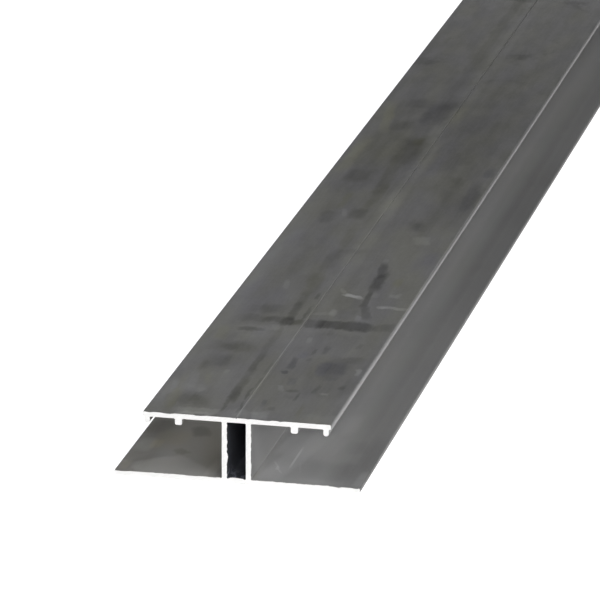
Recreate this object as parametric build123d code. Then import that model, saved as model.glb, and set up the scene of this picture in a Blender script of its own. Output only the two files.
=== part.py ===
from build123d import *
import os

# Sheet-joining H profile, one aluminium extrusion in mill finish, sawn square at both ends.
# A sheet slides into the channel on each side, between the wide base flange and the narrower
# top flange. Two webs close a hollow chamber in the middle, where fixing screws pass.
# Millimetres. X runs across the section, Y along the bar, Z up from the underside of the base.

# Driving dimensions of the bar
stock_length = 1000.0
base_width = 80.0
top_width = 61.0
base_thickness = 1.6
top_thickness = 1.6
web_thickness = 1.6
chamber_width = 6.2

# The sheet that the channels hold, and its play under the lips
sheet_thickness = 16.0
sheet_play = 0.6

# Lip near each edge of the top flange, hanging down towards the sheet
lip_depth = 2.2
lip_width = 1.7
lip_setback = 0.7

# Seal rib further in, which holds a flat seal between itself and the lip
rib_depth = 2.1
rib_width = 2.3
seal_slot_width = 8.2

# V groove along the middle of the top flange, which guides the drill
groove_width = 0.7
groove_depth = 0.3

# Corner radii left by the die
flange_end_radius = 0.45
root_radius = 0.4
lip_tip_radius = 0.7
rib_tip_radius = 0.6

# Largest share of a wall, a slot or a ledge that one of its corner radii may take up
corner_share = 0.45

# Levels, from the underside of the base
floor_z = base_thickness
ceiling_z = floor_z + sheet_thickness + sheet_play + lip_depth
top_z = ceiling_z + top_thickness
lip_tip_z = ceiling_z - lip_depth
rib_tip_z = ceiling_z - rib_depth

# Distances from the middle plane
base_end_x = base_width / 2
top_end_x = top_width / 2
chamber_side_x = chamber_width / 2
web_side_x = chamber_side_x + web_thickness
lip_outer_x = top_end_x - lip_setback
lip_inner_x = lip_outer_x - lip_width
rib_outer_x = lip_inner_x - seal_slot_width
rib_inner_x = rib_outer_x - rib_width

# Radii as cut, each within its share of what it rounds
base_end_radius = min(flange_end_radius, corner_share * base_thickness)
top_end_radius = min(flange_end_radius, corner_share * top_thickness)
ledge_end_radius = min(top_end_radius, corner_share * lip_setback)
ledge_root_radius = min(root_radius, corner_share * lip_setback)
slot_root_radius = min(root_radius, corner_share * seal_slot_width)
chamber_radius = min(root_radius, corner_share * chamber_width)
rib_radius = min(rib_tip_radius, corner_share * rib_width)
lip_radius = min(lip_tip_radius, corner_share * lip_width)


def bar(x_low, x_high, z_low, z_high):
    """Rectangle of the section, from one x to another and from one level to another."""
    centre = Pos((x_low + x_high) / 2, (z_low + z_high) / 2)
    return centre * Rectangle(x_high - x_low, z_high - z_low)


def both_sides(shape):
    """A shape of the section together with its mirror image in the middle plane."""
    return shape + mirror(shape, about=Plane.YZ)


def base_flange():
    return bar(-base_end_x, base_end_x, 0, floor_z)


def top_flange():
    """Flat strip with the drill groove cut along its middle."""
    strip = bar(-top_end_x, top_end_x, ceiling_z, top_z)
    groove = Polygon(
        (-groove_width / 2, top_z),
        (0, top_z - groove_depth),
        (groove_width / 2, top_z),
        align=None,
    )
    return strip - groove


def webs():
    return both_sides(bar(chamber_side_x, web_side_x, floor_z, ceiling_z))


def lips():
    return both_sides(bar(lip_inner_x, lip_outer_x, lip_tip_z, ceiling_z))


def seal_ribs():
    return both_sides(bar(rib_inner_x, rib_outer_x, rib_tip_z, ceiling_z))


def rounded(section, radius, *corners):
    """The section with a radius on each named corner and on the corner opposite it."""
    for x, z in corners:
        for side in (-1, 1):
            corner = section.vertices().sort_by_distance((side * x, z, 0))[0]
            section = fillet(corner, radius)
    return section


def profile_section():
    """The whole section in one outline, with the chamber as its only hole."""
    section = base_flange() + top_flange() + webs() + lips() + seal_ribs()

    # Ends of the flanges, and the ledge between the top flange's end and its lip
    section = rounded(section, base_end_radius, (base_end_x, 0), (base_end_x, floor_z))
    section = rounded(section, top_end_radius, (top_end_x, top_z))
    section = rounded(section, ledge_end_radius, (top_end_x, ceiling_z))
    section = rounded(section, ledge_root_radius, (lip_outer_x, ceiling_z))

    # Corners where a web, a rib or a lip grows out of a flange
    section = rounded(section, root_radius, (web_side_x, floor_z), (web_side_x, ceiling_z))
    section = rounded(section, root_radius, (rib_inner_x, ceiling_z))
    section = rounded(section, slot_root_radius, (rib_outer_x, ceiling_z))
    section = rounded(section, slot_root_radius, (lip_inner_x, ceiling_z))

    # Corners inside the chamber
    section = rounded(section, chamber_radius, (chamber_side_x, floor_z))
    section = rounded(section, chamber_radius, (chamber_side_x, ceiling_z))

    # Tips of the ribs and the lips
    section = rounded(section, rib_radius, (rib_inner_x, rib_tip_z), (rib_outer_x, rib_tip_z))
    section = rounded(section, lip_radius, (lip_inner_x, lip_tip_z), (lip_outer_x, lip_tip_z))
    return section


def h_profile():
    """The section run out by half the stock length each way from the middle of the bar."""
    return extrude(Plane.XZ * profile_section(), amount=stock_length / 2, both=True)


os.makedirs("parts", exist_ok=True)
export_step(h_profile(), "parts/h_profile.step")
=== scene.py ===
import bpy
import numpy as np
from mathutils import Euler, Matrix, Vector
from mathutils.geometry import delaunay_2d_cdt


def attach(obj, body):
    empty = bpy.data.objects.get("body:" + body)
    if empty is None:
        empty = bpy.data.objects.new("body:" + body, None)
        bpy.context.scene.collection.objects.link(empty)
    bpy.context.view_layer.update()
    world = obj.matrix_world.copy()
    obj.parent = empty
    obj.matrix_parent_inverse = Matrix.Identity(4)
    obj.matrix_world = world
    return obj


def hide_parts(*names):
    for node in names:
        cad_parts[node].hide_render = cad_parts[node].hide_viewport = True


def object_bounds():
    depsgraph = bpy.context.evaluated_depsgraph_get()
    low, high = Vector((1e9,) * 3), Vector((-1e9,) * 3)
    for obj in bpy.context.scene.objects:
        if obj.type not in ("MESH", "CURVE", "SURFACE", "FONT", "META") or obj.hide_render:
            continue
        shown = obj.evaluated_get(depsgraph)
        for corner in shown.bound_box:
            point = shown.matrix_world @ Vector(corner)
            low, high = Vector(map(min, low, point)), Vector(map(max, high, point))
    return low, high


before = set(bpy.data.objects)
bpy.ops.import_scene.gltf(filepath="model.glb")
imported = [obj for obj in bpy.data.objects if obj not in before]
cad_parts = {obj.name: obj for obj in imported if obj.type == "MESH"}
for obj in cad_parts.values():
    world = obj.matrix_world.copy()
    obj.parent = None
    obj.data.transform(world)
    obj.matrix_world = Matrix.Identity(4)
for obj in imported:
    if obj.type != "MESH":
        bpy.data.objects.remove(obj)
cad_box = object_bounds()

# The bar
# One length of aluminium, pressed hot through a die, so that its section is the same from end to end.
# It is stretched straight and sawn square at both ends, and nothing is done to its mill finish.

MM = 0.001

# Sizes of the section in millimetres
bar_low, bar_high = cad_box
stock_length = (bar_high.y - bar_low.y) / MM
wall = 1.6
top_width = 61.0
chamber_width = 6.2
lip_depth = 2.2
lip_width = 1.7
lip_setback = 0.7
rib_depth = 2.1
rib_width = 2.3
seal_slot_width = 8.2
groove_width = 0.7
groove_depth = 0.3

# Corner radii left by the die
flange_end_radius = 0.45
root_radius = 0.4
rib_tip_radius = 0.6
lip_tip_radius = 0.7
ledge_radius = 0.315
groove_radius = 0.08

# Places in the section, from the middle plane and from the underside of the base
base_end_x = bar_high.x / MM
top_z = bar_high.z / MM
floor_z = wall
ceiling_z = top_z - wall
top_end_x = top_width / 2
chamber_side_x = chamber_width / 2
web_side_x = chamber_side_x + wall
lip_outer_x = top_end_x - lip_setback
lip_inner_x = lip_outer_x - lip_width
lip_tip_z = ceiling_z - lip_depth
rib_outer_x = lip_inner_x - seal_slot_width
rib_inner_x = rib_outer_x - rib_width
rib_tip_z = ceiling_z - rib_depth
groove_side_x = groove_width / 2
groove_z = top_z - groove_depth

# How finely the outlines are drawn
points_per_corner = 6
point_spacing = 0.5

# The section's corners, each with its radius, up the right half and down the left one
half_section = np.array([
    (base_end_x, 0, flange_end_radius),
    (base_end_x, floor_z, flange_end_radius),
    (web_side_x, floor_z, root_radius),
    (web_side_x, ceiling_z, root_radius),
    (rib_inner_x, ceiling_z, root_radius),
    (rib_inner_x, rib_tip_z, rib_tip_radius),
    (rib_outer_x, rib_tip_z, rib_tip_radius),
    (rib_outer_x, ceiling_z, root_radius),
    (lip_inner_x, ceiling_z, root_radius),
    (lip_inner_x, lip_tip_z, lip_tip_radius),
    (lip_outer_x, lip_tip_z, lip_tip_radius),
    (lip_outer_x, ceiling_z, ledge_radius),
    (top_end_x, ceiling_z, ledge_radius),
    (top_end_x, top_z, flange_end_radius),
    (groove_side_x, top_z, groove_radius),
])
groove_bottom = np.array([(0, groove_z, groove_radius)])
other_half = half_section[::-1] * (-1, 1, 1)
section = np.vstack([half_section, groove_bottom, other_half])

# The chamber's corners run the other way round, because its metal lies outside it
chamber = np.array([
    (-chamber_side_x, floor_z, root_radius),
    (-chamber_side_x, ceiling_z, root_radius),
    (chamber_side_x, ceiling_z, root_radius),
    (chamber_side_x, floor_z, root_radius),
])


def rounded_outline(corners, radii):
    """Closed outline with a true arc in place of each corner.

    An arc's centre lies on the corner's bisector, radius / sin(half the corner's angle) from it. The
    arc's points turn evenly about that centre from the side before the corner to the side after it."""
    before = np.roll(corners, 1, axis=0) - corners
    after = np.roll(corners, -1, axis=0) - corners
    before /= np.linalg.norm(before, axis=1, keepdims=True)
    after /= np.linalg.norm(after, axis=1, keepdims=True)
    half = np.arccos(np.clip((before * after).sum(1), -1, 1))[:, None] / 2
    bisector = before + after
    bisector /= np.linalg.norm(bisector, axis=1, keepdims=True)
    reach = radii[:, None] / np.tan(half)
    centre = corners + bisector * radii[:, None] / np.sin(half)
    first = corners + before * reach - centre
    last = corners + after * reach - centre
    turn = np.pi - 2 * half
    share = np.linspace(0, 1, points_per_corner)[None, :]
    weight_first = np.sin((1 - share) * turn) / np.sin(turn)
    weight_last = np.sin(share * turn) / np.sin(turn)
    arcs = centre[:, None] + weight_first[..., None] * first[:, None]
    arcs = arcs + weight_last[..., None] * last[:, None]
    return arcs.reshape(-1, 2)


def evenly_filled(outline):
    """The outline with extra points on its straight sides, no further apart than the point spacing.

    Each point is found by its distance along the outline. The result is the points, their distances, the
    whole length, and for each point the outward direction, which is the outline's own direction turned a
    quarter turn."""
    closed = np.vstack([outline, outline[:1]])
    steps = np.linalg.norm(np.diff(closed, axis=0), axis=1)
    distance = np.concatenate([[0], np.cumsum(steps)])
    extra = np.arange(0, distance[-1], point_spacing)
    gap = np.abs(extra[:, None] - distance[None, :]).min(1)
    too_close = point_spacing * 0.4
    along = np.sort(np.concatenate([distance[:-1], extra[gap > too_close]]))
    points = np.stack([np.interp(along, distance, closed[:, k]) for k in (0, 1)], axis=1)
    direction = np.roll(points, -1, axis=0) - np.roll(points, 1, axis=0)
    direction /= np.linalg.norm(direction, axis=1, keepdims=True)
    outward = np.stack([direction[:, 1], -direction[:, 0]], axis=1)
    return points, along, distance[-1], outward


# Burrs left by the saw, in millimetres: the way its teeth left the metal, the largest burr on an edge
# of a channel and of the chamber, how far the edges of the outer faces dip, and how far apart the chance
# heights of large burrs, small burrs and dips lie
teeth_way = np.array((0.75, 0.66))
channel_burr = 0.35
chamber_burr = 0.8
outer_dip = 0.26
coarse_spacing = 1.5
fine_spacing = 0.7
dip_spacing = 1.7

# Seeds of the two outlines' burrs, and what each end adds to them
outer_seed = 11
chamber_seed = 23
end_seeds = (0, 7)


def ragged(along, length, spacing, seed):
    """Uneven height from 0 to 1 round a closed outline: random heights a spacing apart, joined by
    straight lines, with the lower half cut off so that single burrs stand out."""
    heights = np.random.default_rng(seed).random(int(length / spacing))
    heights = np.append(heights, heights[0])
    found = np.interp(along / length, np.linspace(0, 1, len(heights)), heights)
    return np.clip(2 * found - 1, 0, 1)


def burrs(points, along, length, outward, in_chamber, seed):
    """How far the saw pushed the metal out over each edge of the cut, in millimetres.

    The teeth left the metal upwards and to the right, so the burr grows with how far an edge faces that
    way. It is largest in the chamber, and rounded corners have none. The flat outer faces have none
    either, and their edge dips slightly."""
    facing = np.clip(outward @ teeth_way, 0, 1)
    turned = np.linalg.norm(np.roll(outward, 1, axis=0) - np.roll(outward, -1, axis=0), axis=1)
    bent = turned > 0.05
    skin = 0.5
    outer_face = (points[:, 1] > top_z - skin) | (points[:, 1] < skin)
    outer_face |= np.abs(points[:, 0]) > top_end_x - skin
    outer_face &= not in_chamber
    largest = np.where(bent, 0, chamber_burr if in_chamber else channel_burr) * facing
    coarse = ragged(along, length, coarse_spacing, seed)
    fine = ragged(along, length, fine_spacing, seed + 1)
    pushed = largest * np.maximum(coarse, 0.6 * fine)
    dip = -outer_dip * ragged(along, length, dip_spacing, seed + 2) * ~bent
    return np.where(outer_face, dip, pushed)


# Rows of points along the bar, close together at the sawn ends, and each row's share of the burr there
near_rows = np.array([0, 0.1, 0.3, 0.8, 3.0])
near_shares = np.array([1, 0.75, 0.2, 0, 0])
middle_rows = np.linspace(0, stock_length, 21)[1:-1]
row_y = np.concatenate([near_rows, middle_rows, stock_length - near_rows[::-1]]) - stock_length / 2
burr_share = np.concatenate([near_shares, 0 * middle_rows, near_shares[::-1]])


def swept(outline, length, along, outward, push, first):
    """One outline carried along the bar: its places, its faces and the faces' places on the map.

    A place lies on the outline at one row's distance along the bar, moved outwards by the burr times that
    row's share of it. On the map the outline is unrolled from side to side and the bar runs upwards."""
    count = len(outline)
    height = np.where(row_y[:, None] < 0, push[0], push[1]) * burr_share[:, None]
    across = outline[None] + outward[None] * height[..., None]
    y = np.broadcast_to(row_y[:, None], height.shape)
    places = np.stack([across[..., 0], y, across[..., 1]], axis=-1).reshape(-1, 3)
    row, column = np.meshgrid(np.arange(len(row_y) - 1), np.arange(count), indexing="ij")
    after = (column + 1) % count
    this_row, next_row = row * count, (row + 1) * count
    faces = [this_row + column, this_row + after, next_row + after, next_row + column]
    unrolled = np.append(along, length)
    left, right = unrolled[column], unrolled[column + 1]
    up = row_y / stock_length + 0.5
    low, high = up[row], up[row + 1]
    spots = [(left, low), (right, low), (right, high), (left, high)]
    spots = np.stack([np.stack(spot, axis=-1) for spot in spots], axis=2).reshape(-1, 4, 2)
    return places, first + np.stack(faces, axis=-1).reshape(-1, 4), spots


def end_face(rims, places):
    """Triangles between the outer rim and the rim of the chamber, which share no point."""
    index = np.concatenate(rims)
    flat = places[index][:, (0, 2)]
    starts = np.cumsum([0] + [len(rim) for rim in rims])
    edges = []
    for start, rim in zip(starts, rims):
        here = np.arange(len(rim))
        edges.append(start + np.stack([here, (here + 1) % len(rim)], axis=1))
    corners = [Vector(place) for place in flat]
    made = delaunay_2d_cdt(corners, np.concatenate(edges).tolist(), [], 1, 1e-6)
    assert len(made[0]) == len(flat), "the end's outline crosses itself"
    triangles = np.array(made[2])
    over_chamber = (triangles >= starts[1]).all(1)
    return index[triangles[~over_chamber]]


# The map: the unrolled sides fill most of its width, and the two ends stand in a strip at its right
map_gap = 2.0
sides_start = (0.004, 0.005)
sides_width, sides_height = 0.925, 0.99
ends_start = (0.945, 0.15)
ends_width, ends_half_height, ends_apart = 0.05, 0.1, 0.3


def bar_skin():
    """Both outlines carried along the bar and unrolled side by side on the map, with a gap between them.

    The result is the places, the faces, their places on the map and the width they take up there, and
    the triangles of the near and of the far end."""
    places, faces, spots, near_rims, far_rims = [], [], [], [], []
    first, unrolled = 0, 0.0
    for corners, in_chamber, seed in ((section, False, outer_seed), (chamber, True, chamber_seed)):
        outline = rounded_outline(corners[:, :2], corners[:, 2])
        outline, along, length, outward = evenly_filled(outline)
        push = [burrs(outline, along, length, outward, in_chamber, seed + more) for more in end_seeds]
        own_places, own_faces, own_spots = swept(outline, length, along, outward, push, first)
        rim = first + np.arange(len(outline))
        places.append(own_places)
        faces.append(own_faces)
        spots.append(own_spots + (unrolled, 0))
        near_rims.append(rim)
        far_rims.append(rim + len(own_places) - len(outline))
        first += len(own_places)
        unrolled += length + map_gap
    places, faces, spots = [np.concatenate(parts) for parts in (places, faces, spots)]
    near, far = end_face(near_rims, places), end_face(far_rims, places)[:, ::-1]
    return places, faces, spots, unrolled, near, far


# Where the stretches of the top face start and end, from the near sawn end. Each has its own material
# with the marks that reach it, because one material can't hold them all. The rest of the skin and the
# cuts come after them in the list of materials.
stretch_ends = np.array([0, 50, 100, 200, stock_length])
skin_slot = len(stretch_ends) - 1
cut_slot = skin_slot + 1


def bar_mesh(name):
    """The bar's skin closed by a flat face at each end, all in one mesh with its map and its finishes."""
    places, faces, spots, unrolled, near, far = bar_skin()
    ends = np.concatenate([near, far])
    sides_map = spots * (sides_width / unrolled, sides_height) + sides_start
    ends_map = places[ends][..., (2, 0)] * (ends_width / top_z, ends_half_height / base_end_x)
    ends_map = ends_map + ends_start
    ends_map[len(near):, :, 1] += ends_apart
    whole_map = np.concatenate([sides_map.ravel(), ends_map.ravel()])

    # the top face takes in the groove's walls, which lie a little below it
    on_top = (places[faces][..., 2] > groove_z - 0.05).all(1)
    from_end = places[faces][..., 1].mean(1) + stock_length / 2
    stretch = np.searchsorted(stretch_ends, from_end) - 1
    finish = np.concatenate([np.where(on_top, stretch, skin_slot), np.full(len(ends), cut_slot)])

    corners = np.concatenate([faces.ravel(), ends.ravel()])
    sizes = np.repeat((4, 3), (len(faces), len(ends)))
    mesh = bpy.data.meshes.new(name)
    mesh.vertices.add(len(places))
    mesh.vertices.foreach_set("co", (places * MM).astype(np.float32).ravel())
    mesh.loops.add(len(corners))
    mesh.loops.foreach_set("vertex_index", corners.astype(np.int32))
    mesh.polygons.add(len(sizes))
    mesh.polygons.foreach_set("loop_start", (np.cumsum(sizes) - sizes).astype(np.int32))
    mesh.polygons.foreach_set("material_index", finish.astype(np.int32))
    mesh.polygons.foreach_set("use_smooth", sizes == 4)
    mesh.update(calc_edges=True)
    mesh.uv_layers.new(name="OFBake").uv.foreach_set("vector", whole_map.astype(np.float32))
    return mesh


bar = bpy.data.objects.new("h_profile_bar", bar_mesh("h_profile_bar"))
bpy.context.scene.collection.objects.link(bar)


class Finish:
    """A material's nodes, with short calls that each add a node or two and give back the last output.

    The bar's finishes are made with it, and so is the floor's."""

    def __init__(self, name):
        self.material = bpy.data.materials.new(name)
        self.material.use_nodes = True
        self.tree = self.material.node_tree
        self.tree.nodes.clear()

    def node(self, kind, inputs, output=0, **settings):
        """One node, with each input linked to an output or set to a constant."""
        made = self.tree.nodes.new(kind)
        for key, value in settings.items():
            setattr(made, key, value)
        for key, value in inputs.items():
            if isinstance(value, bpy.types.NodeSocket):
                self.tree.links.new(value, made.inputs[key])
            else:
                made.inputs[key].default_value = value
        return made.outputs[output]

    def math(self, operation, *values):
        return self.node("ShaderNodeMath", dict(enumerate(values)), operation=operation)

    def vector(self, operation, *values, output=0):
        return self.node("ShaderNodeVectorMath", dict(enumerate(values)), output, operation=operation)

    def add(self, *values):
        total = values[0]
        for value in values[1:]:
            total = self.math("ADD", total, value)
        return total

    def times(self, *values):
        total = values[0]
        for value in values[1:]:
            total = self.math("MULTIPLY", total, value)
        return total

    def ramp(self, value, low, high, at_low=0.0, at_high=1.0):
        """A smooth step from one result to another while the value goes from low to high."""
        if low > high:
            low, high, at_low, at_high = high, low, at_high, at_low
        return self.node("ShaderNodeMapRange", {
            "Value": value,
            "From Min": low,
            "From Max": high,
            "To Min": at_low,
            "To Max": at_high,
        }, interpolation_type="SMOOTHSTEP")

    def swing(self, noise, amount):
        """A smooth step from minus to plus the amount, over the middle range of a noise."""
        return self.ramp(noise, 0.3, 0.7, -amount, amount)

    def between(self, value, low, high, blur):
        """1 while the value lies between low and high and 0 outside, each with a blur to both sides."""
        above = self.ramp(value, low - blur, low + blur)
        return self.times(above, self.ramp(value, high + blur, high - blur))

    def noise(self, place, scale, detail, roughness, output=0):
        """A noise whose grain is 1 / scale millimetres long along each axis."""
        inputs = {"Vector": self.vector("MULTIPLY", place, scale), "Scale": 1.0}
        inputs |= {"Detail": detail, "Roughness": roughness}
        return self.node("ShaderNodeTexNoise", inputs, output)

    def finish(self, shader):
        output = self.tree.nodes.new("ShaderNodeOutputMaterial")
        self.tree.links.new(shader, output.inputs["Surface"])
        return self.material


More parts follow.
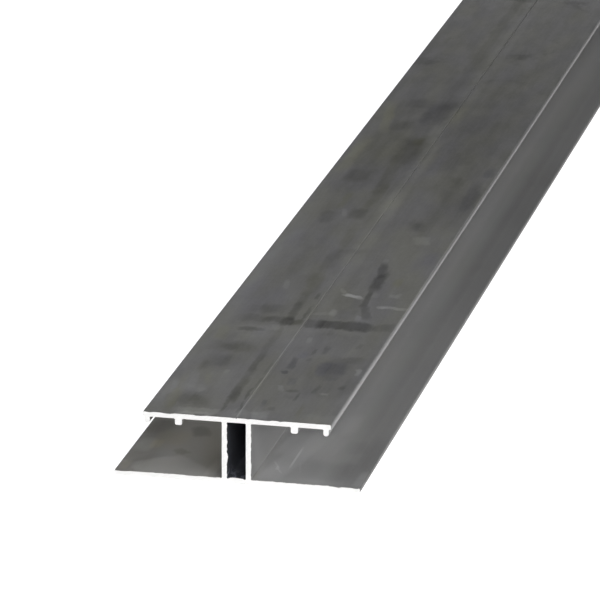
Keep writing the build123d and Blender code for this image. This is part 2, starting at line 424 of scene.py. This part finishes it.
# Marks on the top face, in millimetres: place across the bar and from the sawn end, half sizes, turn in
# degrees, how much lighter the metal is there, how much yellower, and the share of the mark with no fade
top_marks = (
    # band of dirt pressed across the bar
    (14.2, 101.2, 10.2, 4.9, -2, -0.49, 0.00, 0.80),
    (5.3, 101.4, 1.8, 5.4, 0, -0.26, 0.00, 0.50),
    (27.0, 102.0, 3.6, 4.6, -4, -0.20, 0.00, 0.40),
    (1.8, 101.0, 2.4, 4.4, 0, -0.24, 0.00, 0.60),
    (-6.2, 102.0, 2.4, 5.6, 3, -0.50, 0.00, 0.55),
    (-2.6, 101.4, 2.2, 3.8, 0, -0.36, 0.12, 0.50),
    (-11.2, 102.8, 3.8, 3.2, 3, -0.27, 0.00, 0.40),
    (-17.4, 103.0, 6.2, 4.4, 0, -0.16, 0.00, 0.30),
    # smears left of it
    (-16.2, 113.4, 6.6, 6.0, 0, -0.16, 0.00, 0.30),
    (-16.2, 113.8, 2.6, 3.0, 0, -0.11, 0.00, 0.30),
    (-17.6, 90.4, 3.2, 2.7, 10, -0.36, 0.00, 0.40),
    (-13.6, 92.0, 2.4, 2.0, 6, -0.30, 0.00, 0.30),
    (-17.6, 70.8, 9.0, 5.2, -2, -0.18, 0.05, 0.40),
    (-18.6, 71.0, 3.6, 2.8, -12, -0.13, 0.04, 0.30),
    (-17.2, 56.0, 2.4, 6.2, 0, -0.13, -0.03, 0.40),
    (-22.3, 50.6, 1.4, 5.4, 0, -0.13, 0.00, 0.30),
    (-19.0, 57.0, 7.0, 9.0, 0, -0.10, -0.06, 0.30),
    (-17.8, 14.6, 5.8, 5.4, 6, -0.17, 0.04, 0.40),
    (-17.6, 16.4, 2.2, 3.6, 0, -0.10, 0.04, 0.30),
    (-17.8, 20.6, 1.4, 3.0, -10, -0.15, 0.00, 0.30),
    (-23.0, 6.0, 1.6, 6.0, 0, -0.08, 0.10, 0.30),
    # grime along the line of the left web
    (-6.5, 9.6, 0.7, 6.8, 1, -0.28, 0.03, 0.40),
    (-5.8, 22.6, 2.0, 8.6, 3, -0.42, 0.05, 0.35),
    (-6.0, 35.4, 1.9, 7.4, 0, -0.28, 0.05, 0.40),
    (-6.0, 46.0, 1.6, 5.0, 0, -0.16, 0.02, 0.30),
    (-6.3, 57.0, 1.4, 10.6, 0, -0.28, 0.05, 0.50),
    (-6.5, 77.0, 1.4, 11.0, 0, -0.13, 0.04, 0.30),
    (-6.2, 91.0, 1.2, 6.0, 0, -0.10, 0.03, 0.30),
    (-6.2, 114.0, 1.6, 11.0, 1, -0.32, 0.00, 0.40),
    (-6.2, 128.0, 2.0, 9.0, 0, -0.22, 0.04, 0.30),
    (-6.5, 145.0, 2.9, 14.0, 2, -0.20, 0.12, 0.30),
    (-6.6, 172.0, 2.7, 15.0, 0, -0.19, 0.00, 0.30),
    (-1.6, 184.7, 6.4, 3.0, 18, -0.11, 0.02, 0.30),
    (-6.0, 201.0, 1.9, 17.0, 2, -0.12, 0.08, 0.40),
    (-8.8, 230.0, 3.4, 7.6, 0, -0.27, 0.06, 0.30),
    (-6.9, 252.0, 2.3, 19.0, 0, -0.12, 0.10, 0.30),
    (-7.9, 282.0, 3.0, 30.0, 1, -0.17, 0.12, 0.30),
    (-7.2, 318.0, 4.4, 20.0, 0, -0.24, 0.12, 0.20),
    (-6.2, 329.0, 2.4, 6.0, 0, -0.08, 0.24, 0.30),
    (-6.4, 371.0, 5.4, 18.0, -4, -0.26, -0.08, 0.50),
    (-6.8, 690.0, 2.4, 300.0, 0, -0.14, 0.03, 0.70),
    # painted shade: a darker line close beside the groove, like the shade of its wall
    (-1.3, 10.0, 0.5, 6.6, 0, -0.26, 0.00, 0.40),
    (-1.4, 23.4, 0.5, 6.0, 0, -0.32, 0.00, 0.40),
    (-1.1, 36.0, 0.45, 6.0, 0, -0.22, 0.00, 0.40),
    (-1.2, 52.0, 0.45, 8.0, 0, -0.14, 0.00, 0.40),
    (-1.6, 112.0, 0.7, 8.4, 0, -0.26, 0.00, 0.40),
    (-1.9, 131.6, 0.7, 3.4, 0, -0.28, 0.00, 0.40),
    # run of grime along the right half, from a thick head down to a thin tail
    (14.8, 151.0, 2.6, 10.0, 2, -0.44, 0.00, 0.60),
    (13.6, 165.0, 1.7, 8.6, 8, -0.40, -0.03, 0.60),
    (15.0, 132.8, 1.3, 9.8, 1, -0.44, 0.00, 0.60),
    (17.2, 117.0, 1.8, 9.4, 15, -0.30, 0.00, 0.40),
    # dull and cold blotches on the right half
    (20.5, 47.0, 10.5, 22.0, 0, -0.18, 0.00, 0.40),
    (16.2, 54.0, 2.4, 7.4, 3, -0.13, -0.28, 0.40),
    (20.8, 55.4, 3.4, 7.2, 5, -0.25, -0.18, 0.50),
    (22.6, 65.0, 5.4, 3.8, 0, -0.16, 0.00, 0.40),
    (20.4, 46.0, 3.4, 3.4, 0, -0.12, -0.08, 0.30),
    (5.6, 57.6, 1.3, 6.2, 2, -0.30, -0.08, 0.50),
    (5.1, 47.6, 1.2, 2.4, 20, -0.36, -0.14, 0.40),
    (6.8, 67.0, 1.8, 3.8, 0, -0.04, -0.14, 0.30),
    (9.4, 39.8, 1.4, 4.4, 6, -0.15, -0.14, 0.40),
    (10.3, 62.6, 1.0, 2.4, 0, -0.18, 0.00, 0.30),
    (4.6, 18.2, 1.0, 2.4, 0, -0.18, -0.14, 0.30),
    (5.0, 14.0, 1.1, 3.4, 0, -0.08, -0.10, 0.30),
    (8.8, 11.6, 1.1, 2.2, 0, -0.20, 0.00, 0.30),
    (11.0, 30.4, 2.4, 1.4, 8, -0.26, 0.00, 0.30),
    (14.0, 25.0, 0.6, 5.2, 3, -0.28, 0.00, 0.30),
    (12.0, 24.4, 2.4, 2.8, 0, -0.10, 0.00, 0.30),
    (18.8, 33.0, 0.9, 4.2, 0, -0.18, 0.00, 0.30),
    (26.0, 37.3, 1.0, 2.8, 0, -0.20, 0.00, 0.30),
    (9.7, 71.4, 0.7, 4.0, 0, -0.24, 0.00, 0.30),
    (13.1, 74.0, 1.2, 4.6, 3, -0.22, -0.02, 0.30),
    (23.0, 81.0, 1.0, 3.4, 0, -0.16, 0.00, 0.30),
    (10.8, 92.6, 1.0, 4.4, 0, -0.14, 0.00, 0.30),
    (18.2, 12.0, 0.9, 7.6, 2, -0.08, 0.10, 0.30),
    (11.4, 113.4, 3.6, 6.6, 0, -0.12, -0.08, 0.30),
    (12.4, 125.0, 1.8, 5.4, 0, -0.12, -0.08, 0.30),
    # dull patches further on
    (-14.4, 182.0, 5.8, 35.0, 2, -0.05, 0.00, 0.50),
    (-18.3, 224.6, 3.4, 8.2, 0, -0.18, 0.00, 0.40),
    (14.2, 219.6, 3.8, 8.0, 8, -0.17, 0.00, 0.30),
    (14.7, 219.6, 1.8, 4.4, 0, -0.11, 0.00, 0.30),
    (22.5, 242.0, 9.0, 34.0, 0, -0.16, 0.05, 0.50),
    (26.6, 262.0, 2.6, 20.0, 3, -0.20, -0.10, 0.40),
    (-24.8, 272.0, 5.0, 12.0, 0, -0.05, -0.06, 0.30),
    (-18.4, 279.0, 5.8, 9.4, 0, -0.18, 0.07, 0.30),
    (-17.0, 350.0, 4.4, 8.4, 0, -0.15, 0.04, 0.30),
    (-16.0, 382.0, 6.4, 7.0, 0, -0.12, -0.05, 0.30),
    (17.8, 277.0, 3.4, 8.0, 0, -0.10, 0.03, 0.30),
    (27.4, 292.6, 2.0, 7.0, 0, -0.16, -0.10, 0.30),
    (14.5, 340.0, 10.0, 70.0, 0, -0.09, 0.02, 0.50),
    # tinted patches
    (-24.4, 16.0, 2.4, 11.0, 3, 0.00, 0.15, 0.20),
    (-25.4, 31.0, 1.3, 14.0, 3, 0.06, 0.12, 0.30),
    (-17.6, 36.4, 1.6, 6.4, 10, 0.02, 0.12, 0.30),
    (-24.6, 85.0, 2.4, 9.0, 4, 0.04, 0.18, 0.40),
    (-20.0, 160.0, 12.0, 62.0, 0, 0.00, -0.06, 0.60),
    (-16.8, 247.0, 1.7, 12.0, 0, -0.04, 0.16, 0.40),
    (-17.0, 320.0, 9.0, 30.0, 0, -0.03, 0.12, 0.40),
    (-26.4, 308.0, 3.0, 27.0, 0, 0.16, 0.18, 0.30),
    (-24.2, 361.0, 2.2, 24.0, 6, 0.10, 0.24, 0.30),
    (2.0, 372.0, 2.4, 22.0, 0, 0.02, 0.18, 0.30),
    (26.8, 182.0, 2.2, 9.0, 0, -0.04, -0.14, 0.30),
    (21.4, 152.0, 1.8, 6.0, 0, -0.03, 0.20, 0.30),
    (8.0, 128.0, 4.4, 6.0, 0, -0.03, 0.00, 0.40),
    (6.4, 307.0, 2.6, 24.0, 0, 0.02, -0.12, 0.30),
    # lighter metal: along the middle, by the left edge and by the sawn end
    (2.2, 126.0, 2.4, 10.0, 0, 0.08, -0.04, 0.50),
    (1.2, 165.0, 4.0, 30.0, 0, 0.14, 0.03, 0.50),
    (0.6, 226.0, 4.0, 40.0, 0, 0.15, 0.03, 0.50),
    (0.8, 280.0, 3.2, 55.0, 0, 0.16, 0.04, 0.50),
    (0.6, 650.0, 3.6, 330.0, 0, 0.10, 0.02, 0.70),
    (-30.5, 215.0, 7.6, 200.0, 0, 0.17, -0.03, 0.10),
    (-21.8, 33.0, 1.5, 12.0, 8, 0.10, -0.05, 0.40),
    (-26.6, 26.0, 1.2, 9.0, 6, 0.12, -0.05, 0.30),
    (-18.5, 35.0, 8.6, 12.0, 0, 0.13, 0.02, 0.40),
    (-17.6, 25.2, 1.8, 2.4, 0, 0.12, 0.00, 0.30),
    (-14.6, 81.0, 4.8, 4.6, 0, 0.10, 0.05, 0.55),
    (-8.6, 94.4, 1.8, 3.8, 0, 0.18, 0.00, 0.30),
    (-13.0, 109.2, 2.6, 2.4, 0, 0.08, 0.00, 0.30),
    (-13.6, 3.8, 8.0, 3.8, 4, 0.40, 0.00, 0.50),
    (-14.0, 1.8, 6.4, 1.6, 2, 0.30, 0.00, 0.30),
    (-1.0, 4.0, 4.4, 4.6, 0, 0.22, 0.00, 0.40),
    (6.6, 4.4, 2.8, 5.0, 12, 0.36, -0.03, 0.40),
    (25.8, 4.2, 6.4, 5.0, 0, 0.14, 0.00, 0.40),
    (-15.3, 142.0, 1.2, 6.2, 8, 0.20, 0.00, 0.30),
    (-14.0, 231.4, 1.3, 5.6, 10, 0.20, 0.00, 0.30),
    (12.4, 175.4, 1.1, 3.4, 0, 0.14, -0.04, 0.30),
    (20.0, 203.0, 3.2, 5.8, 12, 0.30, 0.02, 0.20),
    (7.5, 257.0, 5.0, 15.0, 0, 0.08, 0.00, 0.40),
    (-2.0, 342.0, 3.2, 15.0, 0, 0.12, 0.00, 0.30),
    (16.6, 294.0, 2.6, 10.0, 0, 0.10, 0.00, 0.30),
    (-15.5, 90.0, 9.0, 7.4, 0, 0.12, 0.00, 0.40),
    (4.0, 94.2, 24.0, 3.0, 0, 0.08, 0.00, 0.50),
    (4.6, 9.4, 1.8, 4.6, 0, 0.12, 0.00, 0.30),
    (0.5, 86.0, 8.0, 11.0, 0, 0.14, 0.00, 0.40),
    (-28.6, 24.0, 2.6, 13.0, 0, 0.22, 0.00, 0.30),
    (-28.6, 158.0, 2.8, 44.0, 0, 0.08, 0.00, 0.30),
    (-20.0, 26.0, 4.6, 5.4, 0, 0.14, 0.00, 0.30),
    (7.0, 281.0, 5.0, 12.0, 0, 0.11, 0.00, 0.30),
    # scratches and nicks down to bright metal
    (9.3, 134.2, 4.4, 1.7, -38, 1.15, -0.10, 0.30),
    (5.2, 139.4, 2.4, 1.2, -55, 0.30, 0.00, 0.20),
    (22.0, 124.2, 1.8, 2.6, -30, 0.26, 0.00, 0.30),
    (25.4, 123.6, 5.4, 1.7, -4, 0.50, 0.00, 0.30),
    (23.3, 137.4, 2.4, 2.4, 0, 0.30, 0.00, 0.30),
    (17.0, 136.6, 1.3, 3.4, 0, 0.18, 0.00, 0.30),
    (16.5, 110.0, 1.2, 3.4, 10, 0.24, -0.10, 0.30),
    (7.2, 114.8, 1.5, 3.4, 0, 0.36, -0.06, 0.30),
    (3.4, 113.0, 4.0, 2.0, 14, 0.18, 0.00, 0.30),
    (5.3, 83.4, 1.1, 3.0, 10, 0.22, 0.00, 0.30),
    (28.0, 54.2, 1.0, 3.6, 5, 0.44, 0.00, 0.30),
    (7.1, 32.8, 1.1, 3.0, 10, 0.26, -0.10, 0.30),
    (21.7, 28.6, 1.5, 1.6, 0, 0.34, 0.00, 0.30),
    (-13.8, 45.2, 1.0, 2.4, 0, 0.16, 0.00, 0.30),
)

# Marks on the base inside the two channels, given in the same way
channel_marks = (
    # right of the web: painted light on the floor, bounded by a slanting edge like the web's shadow, and
    # scratches in it
    (14.0, 27.0, 4.8, 25.0, -11, 0.44, 0.00, 0.60),
    (17.6, 38.0, 6.2, 15.0, -6, 0.32, 0.00, 0.40),
    (10.6, 9.0, 4.4, 10.0, -10, 0.06, 0.00, 0.50),
    (14.1, 24.6, 0.45, 11.0, 0, 0.85, 0.00, 0.30),
    (9.4, 16.6, 0.4, 4.0, 24, 0.34, 0.00, 0.30),
    (11.6, 10.8, 0.4, 2.6, 28, 0.34, 0.00, 0.30),
    (10.4, 13.9, 0.6, 1.8, 10, 0.44, 0.00, 0.30),
    (17.2, 16.0, 0.45, 5.0, 12, 0.14, 0.00, 0.30),
    (23.0, 34.0, 3.0, 12.0, -10, 0.12, 0.00, 0.30),
    (5.0, 5.6, 1.2, 4.0, 0, -0.10, 0.08, 0.30),
    (31.0, 38.0, 4.0, 7.0, 10, -0.12, 0.00, 0.40),
    (27.0, 14.0, 8.6, 10.0, 0, -0.27, 0.00, 0.40),
    (9.4, 38.0, 3.0, 12.0, -8, 0.46, 0.00, 0.30),
    (24.0, 60.0, 4.0, 11.0, 0, 0.22, 0.00, 0.30),
    (37.0, 33.0, 3.6, 18.0, 0, -0.12, 0.00, 0.40),
    (38.6, 8.0, 1.8, 8.0, 0, 0.22, 0.00, 0.30),
    (23.0, 150.0, 3.2, 90.0, 0, -0.06, 0.00, 0.40),
    (37.0, 300.0, 8.0, 110.0, 0, -0.14, 0.00, 0.40),
    (29.0, 262.0, 5.0, 262.0, 0, -0.27, 0.00, 0.60),
    # left of the web: a wedge of painted light at the sawn end, and darker patches behind it, partly
    # stains and partly painted shade of the web
    (-22.7, 4.7, 9.8, 11.2, 42, 0.30, -0.04, 1.32),
    (-34.4, 9.8, 3.0, 12.0, -32, -0.14, 0.00, 0.20),
    (-12.6, 27.0, 5.0, 24.0, 12, -0.03, 0.08, 0.40),
    (-21.3, 42.6, 3.2, 5.6, 16, -0.60, 0.02, 0.60),
    (-23.0, 22.2, 2.5, 3.6, 46, -0.42, 0.06, 0.40),
    (-29.0, 35.0, 6.4, 8.0, 0, -0.02, 0.12, 0.40),
    (-36.0, 45.0, 4.6, 8.0, -16, -0.20, 0.05, 0.50),
    (-32.8, 27.4, 2.2, 4.4, 0, 0.16, 0.20, 0.30),
    (-28.0, 18.6, 3.4, 6.0, 0, 0.02, -0.06, 0.40),
    (-36.4, 27.0, 3.4, 7.6, 0, 0.38, -0.04, 0.30),
    (-37.8, 6.0, 1.8, 4.4, 0, 0.18, 0.10, 0.30),
    (-31.6, 9.0, 2.0, 5.0, 0, -0.06, 0.02, 0.30),
    (-9.2, 9.0, 2.2, 10.0, 0, 0.34, 0.00, 0.30),
)


def marked(f, place, uneven, marks):
    """Sums of the marks' lightness and yellowness at a place on a flat face.

    A mark is a squarish oval. A place's two distances from its middle, counted in the oval's half sizes,
    are squared, and the length of that pair gives 1 within the core and falls smoothly to 0 at the rim.
    Broad marks are measured from the uneven place, so that their rims wander, and thin ones from the true
    place."""
    thinnest_broad = 0.5
    rim = 1.3
    any_height = 1e6
    lighter, yellower = 0.0, 0.0
    for x, along, half_x, half_along, turn, strength, yellow, core in marks:
        thin = min(half_x, half_along) < thinnest_broad
        own = f.node("ShaderNodeMapping", {
            "Vector": place if thin else uneven,
            "Location": (x, along - stock_length / 2, 0),
            "Rotation": (0, 0, np.radians(turn)),
            "Scale": (half_x, half_along, any_height),
        }, vector_type="TEXTURE")
        away = f.vector("LENGTH", f.vector("MULTIPLY", own, own), output=1)
        share = f.ramp(away, 0.5 * core * core, rim, 1.0, 0.0)
        lighter = f.math("MULTIPLY_ADD", share, strength, lighter)
        if yellow:
            yellower = f.math("MULTIPLY_ADD", share, yellow, yellower)
    return lighter, yellower


def millimetres(f):
    """Place on the bar in millimetres, and its parts: across, along from the near sawn end, and up."""
    place = f.vector("MULTIPLY", f.node("ShaderNodeTexCoord", {}, 3), (1 / MM, 1 / MM, 1 / MM))
    x, y, z = f.node("ShaderNodeSeparateXYZ", {0: place}).node.outputs
    return place, x, f.add(y, stock_length / 2), z


def wandering(f, place, reach):
    """The place moved by a noise, by up to half the reach one way or the other."""
    drift = f.noise(place, (0.22, 0.09, 0.22), 3, 0.6, output=1)
    moved = f.vector("MULTIPLY_ADD", drift, reach, place)
    return f.vector("SUBTRACT", moved, [part / 2 for part in reach])


def mill_grain(f, place):
    """Three noises of mill finish: fine lines along the bar, broad bands of them, and fine grain."""
    lines = f.noise(place, (1.6, 0.006, 1.6), 4, 0.7)
    bands = f.noise(place, (0.17, 0.0016, 0.17), 2, 0.5)
    grain = f.noise(place, (1.3, 0.6, 1.3), 3, 0.7)
    return lines, bands, grain


# Tone of the metal where nothing makes it lighter or darker, its roughness there, and how metallic it is
handled_tone = 0.204
sheltered_tone = 0.225
brightest_tone = 0.93
mill_roughness = 0.46
handled_metallic = 0.35
sheltered_metallic = 0.2

# What share of the yellowness is added to red, on the handled face and elsewhere, to green and to blue
handled_warmth = 0.12
sheltered_warmth = 0.3
yellow_green = 0.12
yellow_blue = -0.4


def metal(f, tone, yellow, warmth, metallic, rough, lines, grain):
    """The metal's shader: a grey of the given tone under a relief of fine lines and grain.

    Red, green and blue are the tone times 1 plus a share of the yellowness. Blue's share is below 0."""
    colour = f.node("ShaderNodeCombineColor", {
        channel: f.times(tone, f.add(f.times(yellow, share), 1.0))
        for channel, share in enumerate((warmth, yellow_green, yellow_blue))
    })
    height = f.add(f.times(lines, 0.7), f.times(grain, 0.3))
    relief = f.node("ShaderNodeBump", {"Strength": 0.15, "Distance": 0.0003, "Height": height})
    return f.node("ShaderNodeBsdfPrincipled", {
        "Base Color": colour,
        "Metallic": metallic,
        "Roughness": rough,
        "Normal": relief,
    })


def reaching(low, high):
    """The marks of the top face that reach a stretch of it, with some room for their uneven rims."""
    room = 5
    found = []
    for mark in top_marks:
        along, half = mark[1], max(mark[2:4])
        if low - room < along + half and along - half < high + room:
            found.append(mark)
    return found


def handled_finish(low, high):
    """One stretch of the top face, which has been stacked, dragged and handled.

    It is dull, stained and scratched where the marks say and a little uneven everywhere, and painted
    shade makes it darker between 190 and 330 mm from the near sawn end."""
    f = Finish(f"handled_mill_finish_{low:.0f}")
    place, x, from_end, _ = millimetres(f)
    uneven = wandering(f, place, (3.0, 8.0, 0))
    lighter, yellower = marked(f, place, uneven, reaching(low, high))
    lines, bands, grain = mill_grain(f, place)
    smears = f.noise(place, (0.26, 0.05, 0.26), 3, 0.55)
    clouds = f.noise(place, (0.09, 0.045, 0.09), 4, 0.6)
    tint = f.noise(place, (0.09, 0.025, 0.09), 2, 0.5)

    # beyond the marks the face has soft stains of its own
    beyond = f.ramp(from_end, 380, 470)
    stains = f.ramp(f.noise(place, (0.045, 0.03, 0.045), 4, 0.65), 0.56, 0.68, 0.0, -0.22)

    # the groove's two walls get a painted highlight, brightest near the sawn end
    in_groove = f.ramp(f.math("ABSOLUTE", x), groove_side_x + 0.25, groove_side_x - 0.05)
    groove = f.times(in_groove, f.ramp(from_end, 60, 170, 0.32, 0.06))

    lighter = f.add(
        lighter,
        groove,
        # painted shade: darker from 190 to 330 mm from the near sawn end
        f.ramp(from_end, 190, 330, 0.0, -0.23),
        f.swing(lines, 0.022),
        f.swing(bands, 0.02),
        f.swing(smears, 0.055),
        f.swing(clouds, 0.05),
        f.swing(grain, 0.035),
        f.times(stains, beyond),
    )
    tone = f.times(f.add(lighter, 1.0), handled_tone)
    yellow = f.add(yellower, f.ramp(tint, 0.3, 0.7, -0.04, 0.16))
    rough = f.add(f.times(lighter, -0.12), mill_roughness)
    return f.finish(metal(f, tone, yellow, handled_warmth, handled_metallic, rough, lines, grain))


def painted_light_and_shade_under_flange(f, x, side, from_end, z, on_base):
    """Painted light under the top flange: how much lighter the metal is painted there, in place of light
    that reaches into the channels past the flange's shadow.

    It is painted lighter on the right than on the left and lighter further in, most of all on the base,
    and less so on the webs and in the rounded corners at their feet and heads, which get painted shade."""
    under_flange = f.times(f.ramp(side, 37, 24), f.between(z, floor_z - 0.6, ceiling_z + 0.8, 0.2))
    left = f.ramp(x, 4, -4)
    right = f.math("SUBTRACT", 1.0, left)
    on_left = f.times(left, f.ramp(from_end, 2, 34, 0.16, 0.88))
    on_right = f.times(right, f.ramp(from_end, 0, 12, 0.50, 0.80))

    in_root = f.times(
        f.ramp(side, web_side_x + 0.55, web_side_x + 0.35),
        f.ramp(side, web_side_x, web_side_x + 0.15),
    )
    root = f.times(in_root, f.ramp(from_end, 5, 40, -0.02, -0.36))
    web = f.times(f.ramp(side, web_side_x + 0.5, web_side_x + 0.1), f.ramp(from_end, 40, 0, -0.34, -0.54))
    deeper = f.times(f.ramp(side, 30, 8), f.ramp(from_end, 12, 45), 0.46, on_base)
    return f.times(under_flange, f.add(on_left, on_right, root, web, deeper))


def painted_shade_on_flange_ends(f, side, from_end, z):
    """How much lighter the end faces of the two flanges are, below 0: painted shade that dims the bright
    floor they mirror.

    The top flange's ends are painted darker further along the bar, and the base's by the near sawn end."""
    on_top_flange = f.ramp(z, ceiling_z - 0.2, ceiling_z)
    top_end = f.times(f.ramp(side, top_end_x - 0.6, top_end_x - 0.4), on_top_flange)
    base_end = f.ramp(side, base_end_x - 0.5, base_end_x - 0.2)
    # painted shade on the flange ends
    return f.add(
        f.times(top_end, f.ramp(from_end, 20, 230, -0.18, -0.90)),
        f.times(base_end, f.ramp(from_end, 10, 50, -0.40, -0.15)),
    )


def painted_chamber_shade(f, place, from_end, z):
    """Painted shade in the chamber: dark metal that lightens a little further in, with painted light in
    paler patches on its floor by the sawn end.
    """
    patches = f.ramp(f.noise(place, (0.9, 0.35, 0.9), 2, 0.5), 0.48, 0.58)
    lit_mouth = f.times(f.ramp(from_end, 12, 3), f.ramp(z, 5.5, 2.0), patches)
    return f.add(f.times(lit_mouth, 0.16), f.ramp(from_end, 0, 25, 0.05, 0.20))


def sheltered_finish():
    """All other skin of the bar: even mill finish, painted lighter in the channels in place of light
    under the top flange, and painted dark in the chamber as shade.
    """
    f = Finish("sheltered_mill_finish")
    place, x, from_end, z = millimetres(f)
    side = f.math("ABSOLUTE", x)
    on_base = f.between(z, floor_z - 0.6, floor_z + 0.4, 0.2)
    between_webs = f.ramp(side, chamber_side_x + 0.8, chamber_side_x + 0.5)
    in_chamber = f.times(between_webs, f.between(z, floor_z - 0.5, ceiling_z + 0.5, 0.1))
    uneven = wandering(f, place, (2.0, 5.0, 0))
    lighter, yellower = [f.times(total, on_base) for total in marked(f, place, uneven, channel_marks)]
    # painted light under the top flange, offsetting its shadow, with painted shade on the webs and their
    # corners
    painted_channel_light = painted_light_and_shade_under_flange(f, x, side, from_end, z, on_base)
    lines, bands, grain = mill_grain(f, place)
    clouds = f.noise(place, (0.06, 0.024, 0.06), 3, 0.5)
    tint = f.noise(place, (0.05, 0.02, 0.05), 3, 0.6)
    lighter = f.add(
        lighter,
        painted_channel_light,
        # painted shade on the flange ends
        painted_shade_on_flange_ends(f, side, from_end, z),
        f.swing(lines, 0.02),
        f.swing(bands, 0.02),
        f.swing(clouds, 0.04),
        f.swing(grain, 0.02),
    )
    outside = f.math("MINIMUM", f.times(f.add(lighter, 1.0), sheltered_tone), brightest_tone)
    # the chamber is painted dark in place of the shade that falls in it
    inside = painted_chamber_shade(f, place, from_end, z)
    not_in_chamber = f.add(f.times(in_chamber, -1.0), 1.0)
    tone = f.add(f.times(outside, not_in_chamber), f.times(inside, in_chamber))

    # the left side is a little warmer up to the top flange, and the chamber's painted shade is bluish
    left_side = f.times(f.ramp(x, -4, -5), f.ramp(z, 21.0, 20.0), 0.11)
    bluish = f.times(in_chamber, -0.32)
    yellow = f.add(yellower, left_side, f.ramp(tint, 0.35, 0.65, -0.01, 0.02), bluish)
    rough = f.add(f.times(painted_channel_light, -0.08), mill_roughness)
    return f.finish(metal(f, tone, yellow, sheltered_warmth, sheltered_metallic, rough, lines, grain))


def fresh_cut():
    """Sawn face: bright clean metal crossed by the shallow arcs of the saw blade.

    An arc is a noise of the distance from the blade's hub, which was up and left of the bar."""
    f = Finish("fresh_sawn_aluminium")
    place = millimetres(f)[0]
    hub_x, hub_z, any_depth = -70, 120, 1e6
    from_hub = f.node("ShaderNodeMapping", {
        "Vector": place,
        "Location": (hub_x, 0, hub_z),
        "Scale": (1, any_depth, 1),
    }, vector_type="TEXTURE")
    arcs = f.node("ShaderNodeTexNoise", {
        "W": f.times(f.vector("LENGTH", from_hub, output=1), 2.2),
        "Scale": 1.0,
        "Detail": 3.0,
        "Roughness": 0.7,
    }, noise_dimensions="1D")
    patches = f.noise(place, (0.25, 0.25, 0.25), 2, 0.5)
    cut_tone = 0.86
    tone = f.add(f.swing(arcs, 0.02), f.swing(patches, 0.015), cut_tone)
    colour = f.node("ShaderNodeCombineColor", {0: tone, 1: f.times(tone, 0.995), 2: f.times(tone, 0.985)})
    relief = f.node("ShaderNodeBump", {"Strength": 0.2, "Distance": 0.0002, "Height": arcs})
    return f.finish(f.node("ShaderNodeBsdfPrincipled", {
        "Base Color": colour,
        "Metallic": 0.35,
        "Roughness": 0.42,
        "Normal": relief,
    }))


for low, high in zip(stretch_ends[:-1], stretch_ends[1:]):
    bar.data.materials.append(handled_finish(low, high))
bar.data.materials.append(sheltered_finish())
bar.data.materials.append(fresh_cut())
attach(bar, "root")
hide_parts("h_profile")

# The floor
# A plain white studio floor that the bar lies on, made of one flat sheet.
# It shows white to the camera and in the metal, and keeps the bar's shadow.
floor_half = 40.0
floor_mesh = bpy.data.meshes.new("studio_floor")
floor_corners = np.array([(-1, -1), (1, -1), (1, 1), (-1, 1)]) * floor_half
floor_mesh.from_pydata([(x, y, 0) for x, y in floor_corners], [], [(0, 1, 2, 3)])
floor = bpy.data.objects.new("studio_floor", floor_mesh)
bpy.context.scene.collection.objects.link(floor)


def white_floor():
    """Matt white that also gives off plain white to the camera, and a softer one to gloss and glass."""
    f = Finish("white_studio_floor")
    ray = f.node("ShaderNodeLightPath", {}).node.outputs
    mirrored = f.math("MAXIMUM", ray["Is Glossy Ray"], ray["Is Transmission Ray"])
    glow = f.add(f.times(mirrored, 0.4), f.times(ray["Is Camera Ray"], 0.9))
    matt = f.node("ShaderNodeBsdfDiffuse", {"Color": (0.8, 0.8, 0.8, 1)})
    white = f.node("ShaderNodeEmission", {"Color": (1, 1, 1, 1), "Strength": glow})
    return f.finish(f.node("ShaderNodeAddShader", {0: matt, 1: white}))


floor_mesh.materials.append(white_floor())

# Studio light
# Large soft lamps before the sawn end and overhead, weaker ones left and right, one for the far end, and
# an even grey room.
world = bpy.data.worlds.new("plain_room")
bpy.context.scene.world = world
world.use_nodes = True
room = world.node_tree.nodes["Background"].inputs
room["Color"].default_value = (1, 1, 1, 1)
room["Strength"].default_value = 0.12


def soft_lamp(name, place, target, size, power, spread=180):
    """A rectangular lamp at a place, turned to face a target: metres, watts and degrees of spread."""
    lamp = bpy.data.lights.new(name, "AREA")
    lamp.shape = "RECTANGLE"
    lamp.size, lamp.size_y = size
    lamp.energy = power
    lamp.spread = np.radians(spread)
    made = bpy.data.objects.new(name, lamp)
    made.location = place
    made.rotation_euler = (Vector(target) - Vector(place)).to_track_quat("-Z", "Y").to_euler()
    made.visible_camera = False
    bpy.context.scene.collection.objects.link(made)


soft_lamp("front_lamp", (0.572, -1.317, 0.465), (0, -0.5, 0.01), (1.2, 0.8), 12.2)
soft_lamp("top_lamp", (0.5, -0.9, 1.9), (0, -0.1, 0), (1.6, 1.2), 9)
soft_lamp("left_lamp", (-1.1, -0.9, 0.8), (0, -0.3, 0), (1.0, 0.8), 6)
soft_lamp("right_lamp", (1.2, -0.4, 0.45), (0, -0.2, 0), (1.2, 0.6), 4)
soft_lamp("far_lamp", (-0.4, 1.35, 0.8), (0, 0.75, 0), (0.5, 0.5), 1.6, spread=40)

# Camera
# A long lens to the right of the near sawn end and a little above it, turned slightly to stand as the
# photo was taken, which the sawn end's corners show.
lens = bpy.data.cameras.new("camera")
lens.sensor_width = 36.0
lens.lens = 309.2
lens.clip_start, lens.clip_end = 0.05, 100.0
camera = bpy.data.objects.new("camera", lens)
camera.location = (0.3472, -1.9981, 0.5446)
camera.rotation_euler = Euler(np.radians((72.545, -0.214, 12.373)))
bpy.context.scene.collection.objects.link(camera)
bpy.context.scene.camera = camera
bpy.context.scene.view_settings.view_transform = "Standard"
